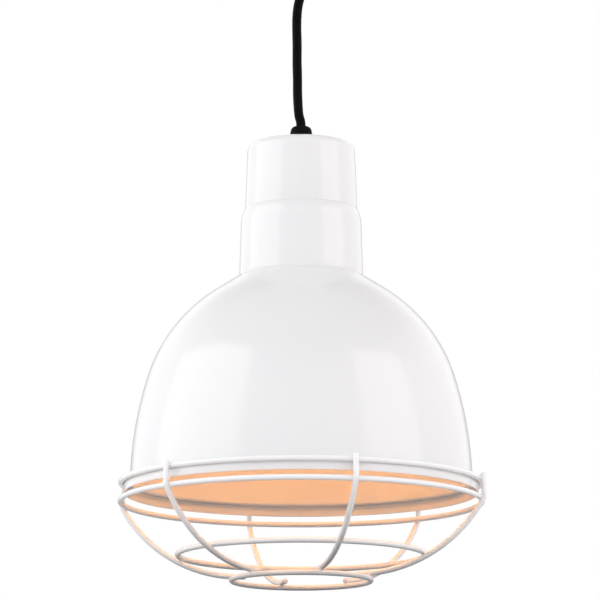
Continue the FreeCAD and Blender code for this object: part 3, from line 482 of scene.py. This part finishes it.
def weld_bead(r, z, degrees, size):
    """A small flattened nugget where two wires cross."""
    centre = Vector(at_angle(r, z, degrees))
    out = Vector((math.sin(math.radians(degrees)), -math.cos(math.radians(degrees)), 0))
    side, up = Vector((-out.y, out.x, 0)), Vector((0, 0, 1))
    verts, faces = [centre + up * size * MM], []
    rows, sides = 6, 12
    for k in range(1, rows):
        polar = math.pi * k / rows
        for i in range(sides):
            a = 2 * math.pi * i / sides
            flat = math.sin(polar) * size * MM
            verts.append(centre + side * math.cos(a) * flat * 1.25 + out * math.sin(a) * flat * 0.9
                         + up * math.cos(polar) * size * MM)
    verts.append(centre - up * size * MM)
    last = len(verts) - 1
    for i in range(sides):
        j = (i + 1) % sides
        faces.append((0, 1 + i, 1 + j))
        faces.append((last, 1 + (rows - 2) * sides + j, 1 + (rows - 2) * sides + i))
        for k in range(rows - 2):
            a, b = 1 + k * sides, 1 + (k + 1) * sides
            faces.append((a + i, b + i, b + j, a + j))
    return verts, faces


def guard_pieces():
    for name, (radius, height) in RINGS.items():
        outline = arc((radius, height), WIRE, 0, 360, 20)[:-1]
        verts, faces = lathe(outline, 240)
        new_piece(name.replace("guard_", "wire_"), verts, faces, wire_paint, "head", [name])
    ribs = []
    for angle, tip in RIBS:
        ribs.append(tube([at_angle(r, z, angle) for r, z in rib_line(tip)], WIRE * MM))
    verts, faces = join(ribs)
    new_piece("wire_ribs", verts, faces, wire_paint, "head", ["guard_ribs"])
    spots = [(130.8, 7.8, 1.5), (131.2, -5.6, 1.6), (90.1, -45.5, 1.5), (49.9, -60.0, 1.5)]
    beads = []
    for angle, _ in RIBS:
        beads += [weld_bead(r, z, angle, size) for r, z, size in spots]
    verts, faces = join(beads)
    new_piece("wire_welds", verts, faces, wire_paint, "head")


# ---------------------------------------------------------------- cord grips and cord


def grip_outline(low, top, top_radius, mouth, throat, lip, cavity):
    """A domed nut from its seat, low, to its mouth, top, in mm above the rim plane."""
    way = 1 if top > low else -1
    dome = [(8.0, low + 0.4 * way), (8.0, low + 6.4 * way)]
    for k in range(1, 9):
        a = math.pi / 2 * k / 8
        r = top_radius + 0.5 + (7.5 - top_radius) * math.cos(a)
        dome.append((r, low + (6.4 + 5.3 * math.sin(a)) * way))
    mouth_edge = [
        (top_radius, top - 0.12 * way), (top_radius - 0.3, top),
        (mouth + 0.15, top), (mouth, top - 0.15 * way),
    ]
    inside = [(throat, top - lip * way), (cavity, top - lip * way), (cavity, low)]
    return dome + mouth_edge + inside + [(7.6, low)]


def cord_ends():
    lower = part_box("lower_grip_nut")
    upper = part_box("upper_grip_nut")
    low, top = ((v.z - RIM) / MM for v in lower)
    nuts = {
        "lower_gland": (grip_outline(low, top, 5.4, 4.75, 4.4, 0.7, 5.05), "lower_grip_nut", "head"),
    }
    low, top = (upper[1].z - RIM) / MM, (upper[0].z - RIM) / MM
    nuts["upper_gland"] = (grip_outline(low, top, 7.0, 6.3, 5.1, 1.2, 5.15), "upper_grip_nut", "ceiling")
    for name, (outline, node, body) in nuts.items():
        verts, faces = lathe(outline, 72)
        new_piece(name, verts, faces, black_moulding, body, [node])


CORD_RADIUS = 3.4
LAY = 0.075  # length of cord in which the cores make one turn
SWELL = 0.022  # height of the cores under the jacket, as a share of its radius
RIPPLE, RIPPLE_RATE = 0.006, 310  # slow unevenness along the cord: share of the radius, rad per m


def cord_shape(distance, angle):
    """Three cores show as low swells that wind slowly round the jacket."""
    turn = 2 * math.pi * distance / LAY
    return 1 + SWELL * math.cos(3 * (angle - turn)) + RIPPLE * math.sin(distance * RIPPLE_RATE)


def cord_piece():
    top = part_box("cord_upper")[1].z - CORD_RADIUS * MM
    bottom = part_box("cord_lower")[0].z + CORD_RADIUS * MM
    route = [
        (0, 0, top), (0, 0, top - 0.0085), (-0.0033, 0.0004, top - 0.020), (-0.0031, 0, top - 0.040),
        (-0.0029, -0.0004, top - 0.063), (-0.0026, 0, top - 0.084), (-0.0020, 0, top - 0.0995),
        (0, 0, bottom + 0.006), (0, 0, bottom),
    ]
    curve = bpy.data.curves.new("cord_route", "CURVE")
    curve.dimensions = "3D"
    spline = curve.splines.new("NURBS")
    spline.points.add(len(route) - 1)
    for point, place in zip(spline.points, route):
        point.co = (*place, 1)
    spline.order_u = 3
    spline.use_endpoint_u = True
    spline.resolution_u = 16
    line = bpy.data.objects.new("cord_route", curve)
    bpy.context.scene.collection.objects.link(line)
    bpy.context.view_layer.update()
    flat = bpy.data.meshes.new_from_object(line)
    path = [tuple(v.co) for v in flat.vertices]
    bpy.data.objects.remove(line)
    bpy.data.meshes.remove(flat)
    verts, faces = tube(path, CORD_RADIUS * MM, 36, shape=cord_shape)
    cord = new_piece("hanging_cord", verts, faces, jacket, None, ["cord_upper", "cord_lower"])
    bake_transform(cord)
    length = sum((Vector(b) - Vector(a)).length for a, b in zip(path, path[1:]))
    return length


# ---------------------------------------------------------------- camera, stage and light


def look_along(azimuth, elevation):
    a, e = math.radians(azimuth), math.radians(elevation)
    return Vector((math.sin(a) * math.cos(e), -math.cos(a) * math.cos(e), math.sin(e)))


def set_camera():
    """The viewpoint stands below the shade and looks up at it with a long lens."""
    data = bpy.data.cameras.new("camera")
    data.sensor_width = 36.0
    data.lens = 237.65
    data.clip_start, data.clip_end = 0.1, 60.0
    camera = bpy.data.objects.new("camera", data)
    camera.location = (-0.00087, -2.8128, RIM - 0.38135)
    camera.rotation_euler = (math.radians(90 + 10.527), 0, 0)
    bpy.context.scene.collection.objects.link(camera)
    bpy.context.scene.camera = camera


def emission(name, colour, strength):
    material = bpy.data.materials.new(name)
    material.use_nodes = True
    tree = material.node_tree
    tree.nodes.clear()
    light = tree.nodes.new("ShaderNodeEmission")
    light.inputs["Color"].default_value = (*colour, 1)
    light.inputs["Strength"].default_value = strength
    out = tree.nodes.new("ShaderNodeOutputMaterial")
    tree.links.new(light.outputs["Emission"], out.inputs["Surface"])
    return material


def stage_mesh(name, verts, faces, material):
    mesh = bpy.data.meshes.new(name)
    mesh.from_pydata(verts, [], faces)
    mesh.materials.append(material)
    obj = bpy.data.objects.new(name, mesh)
    bpy.context.scene.collection.objects.link(obj)
    return obj


def stage_disc(name, radius, z, material, sides=96):
    turns = [2 * math.pi * k / sides for k in range(sides)]
    verts = [(radius * math.cos(a), radius * math.sin(a), z) for a in turns]
    return stage_mesh(name, verts, [tuple(range(sides))], material)


def softbox(name, azimuth, sides, heights, strength, colour=(1, 1, 1)):
    """A lit panel facing the shade, unseen by the camera. Its edges are in m from its middle."""
    middle = Vector((0, 0, RIM + 0.08)) + look_along(azimuth, 0) * PANEL_DISTANCE
    along = Vector((math.cos(math.radians(azimuth)), math.sin(math.radians(azimuth)), 0))
    up = Vector((0, 0, 1))
    (left, right), (low, high) = sides, heights
    corners = [(left, low), (right, low), (right, high), (left, high)]
    verts = [middle + along * x + up * z for x, z in corners]
    panel = stage_mesh(name, verts, [(0, 3, 2, 1)], emission(name, colour, strength))
    hide_from(panel, "camera")


def hide_from(obj, *rays):
    for ray in rays:
        setattr(obj, f"visible_{ray}", False)


def set_backdrop(rows=16, sides=32):
    """A white sphere round everything, which only the camera sees."""
    radius = BACKDROP_RADIUS
    verts, faces = [], []
    for k in range(rows + 1):
        polar = math.pi * (k + 0.5) / (rows + 1)
        ring, z = radius * math.sin(polar), radius * math.cos(polar)
        for i in range(sides):
            a = 2 * math.pi * i / sides
            verts.append((ring * math.cos(a), ring * math.sin(a), z))
    for k in range(rows):
        for i in range(sides):
            j = (i + 1) % sides
            faces.append((k * sides + i, (k + 1) * sides + i, (k + 1) * sides + j, k * sides + j))
    faces += [tuple(range(sides)), tuple(rows * sides + i for i in reversed(range(sides)))]
    dome = stage_mesh("backdrop", verts, faces, emission("backdrop", (1, 1, 1), BACKDROP))
    hide_from(dome, "diffuse", "glossy", "transmission", "volume_scatter", "shadow")


def set_stage():
    scene = bpy.context.scene
    scene.view_settings.view_transform = "Standard"
    world = bpy.data.worlds.new("studio")
    scene.world = world
    world.use_nodes = True
    tree = world.node_tree
    background = tree.nodes["Background"]
    background.inputs["Color"].default_value = (1.0, 0.985, 1.0, 1)
    direction = tree.nodes.new("ShaderNodeTexCoord").outputs["Generated"]
    split = tree.nodes.new("ShaderNodeSeparateXYZ")
    tree.links.new(direction, split.inputs["Vector"])
    shares = []
    for axis, start, end, low in (("Z", 0.45, 0.85, TOP_SHARE), ("Y", 0.85, 0.97, BACK_SHARE)):
        fade = tree.nodes.new("ShaderNodeMapRange")
        fade.interpolation_type = "SMOOTHSTEP"
        for name, value in (("From Min", start), ("From Max", end), ("To Min", 1), ("To Max", low)):
            fade.inputs[name].default_value = value
        tree.links.new(split.outputs[axis], fade.inputs["Value"])
        shares.append(fade.outputs["Result"])
    both = tree.nodes.new("ShaderNodeMath")
    both.operation = "MULTIPLY"
    level = tree.nodes.new("ShaderNodeMath")
    level.operation = "MULTIPLY"
    level.inputs[1].default_value = SKY
    tree.links.new(shares[0], both.inputs[0])
    tree.links.new(shares[1], both.inputs[1])
    tree.links.new(both.outputs[0], level.inputs[0])
    tree.links.new(level.outputs[0], background.inputs["Strength"])
    softbox("left_panel", -57, (-2.0, 0.43), (0.08, 1.49), LEFT_PANEL)
    softbox("right_panel", 47, (-0.13, 1.19), (0.08, 1.30), RIGHT_PANEL, (1.0, 0.965, 0.95))
    floor = paint("floor", (0.82, 0.82, 0.82), 0.7)
    stage_disc("floor", FLOOR_RADIUS, RIM - FLOOR_DROP, floor)
    flag = stage_disc("flag", FLAG_RADIUS, RIM - FLAG_DROP, emission("flag", (0, 0, 0), 0.0))
    hide_from(flag, "camera", "glossy", "transmission", "volume_scatter", "shadow")
    set_backdrop()


set_camera()
cord_length = cord_piece()
head_pieces()
guard_pieces()
cord_ends()
set_stage()

print(f"cord line {cord_length * 1000:.1f} mm")
